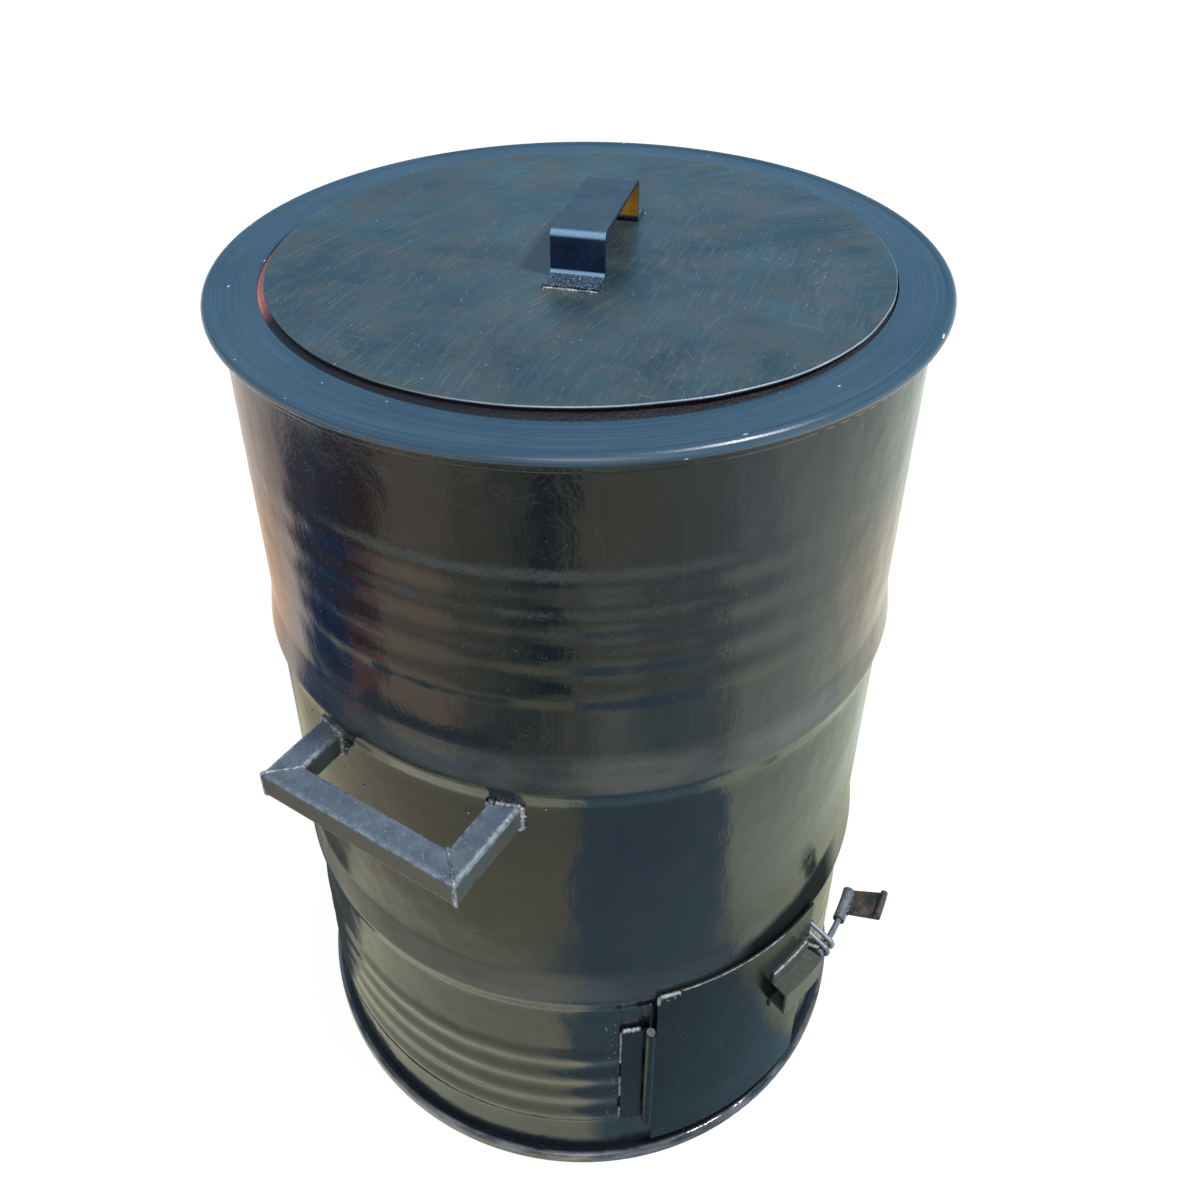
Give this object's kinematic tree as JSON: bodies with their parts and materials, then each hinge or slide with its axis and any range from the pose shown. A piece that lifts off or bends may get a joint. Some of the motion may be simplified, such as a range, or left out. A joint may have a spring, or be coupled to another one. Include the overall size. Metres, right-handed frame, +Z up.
{
  "type": "clay tandoor oven",
  "caption": "Charcoal-fired clay oven in a black enamelled steel drum with a loose lid, carrying handles and a hinged, bolted fire door.",
  "frame": {"origin": "on the drum's axis, at the floor under the foot rim", "axes": "+Z up along the drum's axis, -Y out of the drum through the middle of the fire door, +X to the right of someone who faces the door"},
  "size_m": [0.7002, 0.6129, 0.911],
  "materials": {
    "black_enamel": "gloss",
    "blue_enamel": "gloss",
    "handle_enamel": "satin",
    "bolt_enamel": "satin",
    "bolt_steel": "satin",
    "sheet_steel": "matte",
    "cast_iron": "matte",
    "fired_clay": "matte",
    "clay_mortar": "matte",
    "refractory": "matte",
    "mineral_wool": "matte"
  },
  "bodies": {
    "root": {"drum_shell": "black_enamel", "drum_floor": "black_enamel", "foot_rim": "black_enamel", "top_rim": "black_enamel", "top_ring": "blue_enamel", "ring_edge": "blue_enamel", "clay_pot": "fired_clay", "mouth_collar": "clay_mortar", "insulation_fill": "mineral_wool", "hearth_slab": "refractory", "fire_grate": "cast_iron", "port_frame": "sheet_steel", "left_grip": "handle_enamel", "left_leg_front": "handle_enamel", "left_leg_rear": "handle_enamel", "right_grip": "handle_enamel", "right_leg_front": "handle_enamel", "right_leg_rear": "handle_enamel", "wall_hinge_leaf": "black_enamel", "hinge_pin": "bolt_steel", "bolt_guide_near": "bolt_steel", "bolt_guide_far": "bolt_steel"},
    "lid": {"lid_plate": "blue_enamel", "lid_handle": "blue_enamel"},
    "door": {"door_plate": "black_enamel", "door_hinge_leaf": "black_enamel", "door_keeper": "black_enamel"},
    "bolt": {"bolt_rod": "bolt_steel", "bolt_sleeve": "bolt_steel", "bolt_thumb_plate": "bolt_enamel"}
  },
  "joints": [
    {"name": "lid_lift", "type": "slide", "parent": "root", "child": "lid", "axis": [0, 0, 1], "range_m": [0, 0.3]},
    {"name": "door_hinge", "type": "hinge", "parent": "root", "child": "door", "pos_m": [-0.0966, -0.28053, 0.153], "axis": [0, 0, -1], "range_deg": [0, 120]},
    {"name": "bolt_slide", "type": "hinge", "parent": "root", "child": "bolt", "pos_m": [0, 0, 0.21], "axis": [0, 0, -1], "range_deg": [0, 4.8]}
  ]
}
